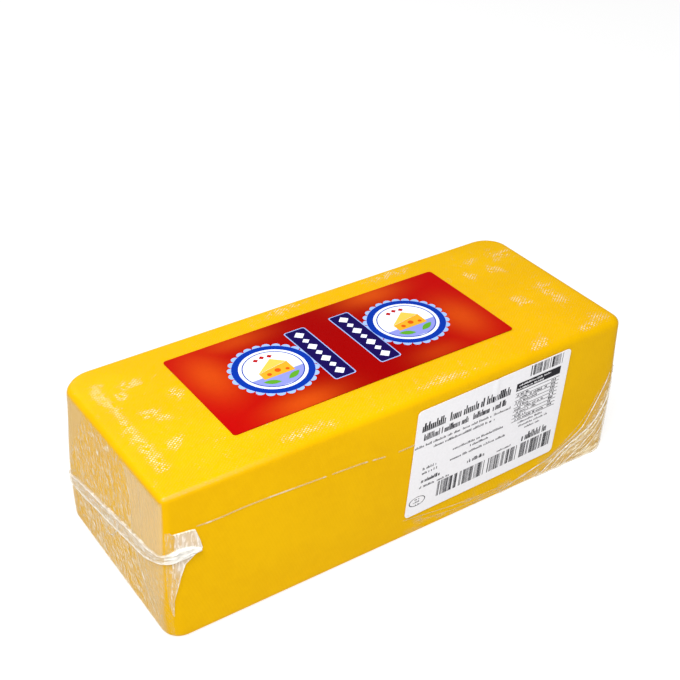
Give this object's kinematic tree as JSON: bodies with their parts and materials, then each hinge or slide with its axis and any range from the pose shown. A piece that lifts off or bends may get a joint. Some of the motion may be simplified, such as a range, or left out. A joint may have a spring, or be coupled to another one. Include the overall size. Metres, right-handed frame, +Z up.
{
  "type": "cheddar block",
  "caption": "Whole rectangular cheddar loaf sealed in clear shrink film, with a red printed sheet on top, a white weight label on the front and a folded film weld at each end.",
  "frame": {"origin": "centre of the underside of the block's box, on the surface that it lies on", "axes": "+X along the length, towards the end by the weight label; +Z up; the side with the weight label faces -Y"},
  "size_m": [0.2964, 0.1216, 0.0932],
  "materials": {
    "cheese": "deep yellow cheese seen through tight clear film, smooth and softly glossy",
    "film": "thin clear shrink film, glossy, milky where it is loose or folded",
    "printed_film": "glossy red printed sheet",
    "label_paper": "white coated label paper with black print"
  },
  "bodies": {
    "root": {"sealed_block": "cheese", "top_label": "printed_film", "weight_label": "label_paper"}
  },
  "joints": []
}
